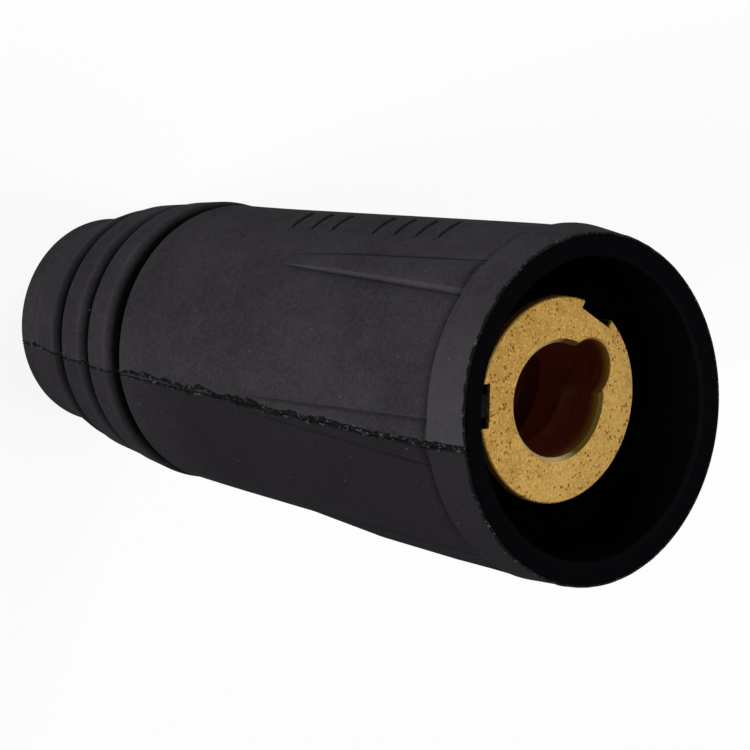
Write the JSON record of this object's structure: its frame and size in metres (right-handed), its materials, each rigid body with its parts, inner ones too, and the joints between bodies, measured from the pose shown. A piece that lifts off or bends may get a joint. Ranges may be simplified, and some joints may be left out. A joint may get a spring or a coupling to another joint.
{
  "type": "bayonet welding cable socket",
  "caption": "Round cable socket: a brass contact with a keyed plug bore, in a ridged rubber sleeve with a ribbed cable tail.",
  "frame": {"origin": "centre of the cable end's face, on the surface it stands on", "axes": "+Z along the axis, from the cable end to the mouth; the mould seam lies in the XZ plane"},
  "size_m": [0.0412, 0.0412, 0.0994],
  "materials": {
    "rubber": "moulded, satin",
    "brass": "turned, dull, with small casting pits",
    "copper": "rolled copper strip, bare",
    "steel": "blackened steel"
  },
  "bodies": {
    "root": {"rubber_sleeve": "rubber", "brass_socket": "brass", "copper_ferrule": "copper", "clamp_screw_front": "steel", "clamp_screw_rear": "steel"}
  },
  "joints": []
}
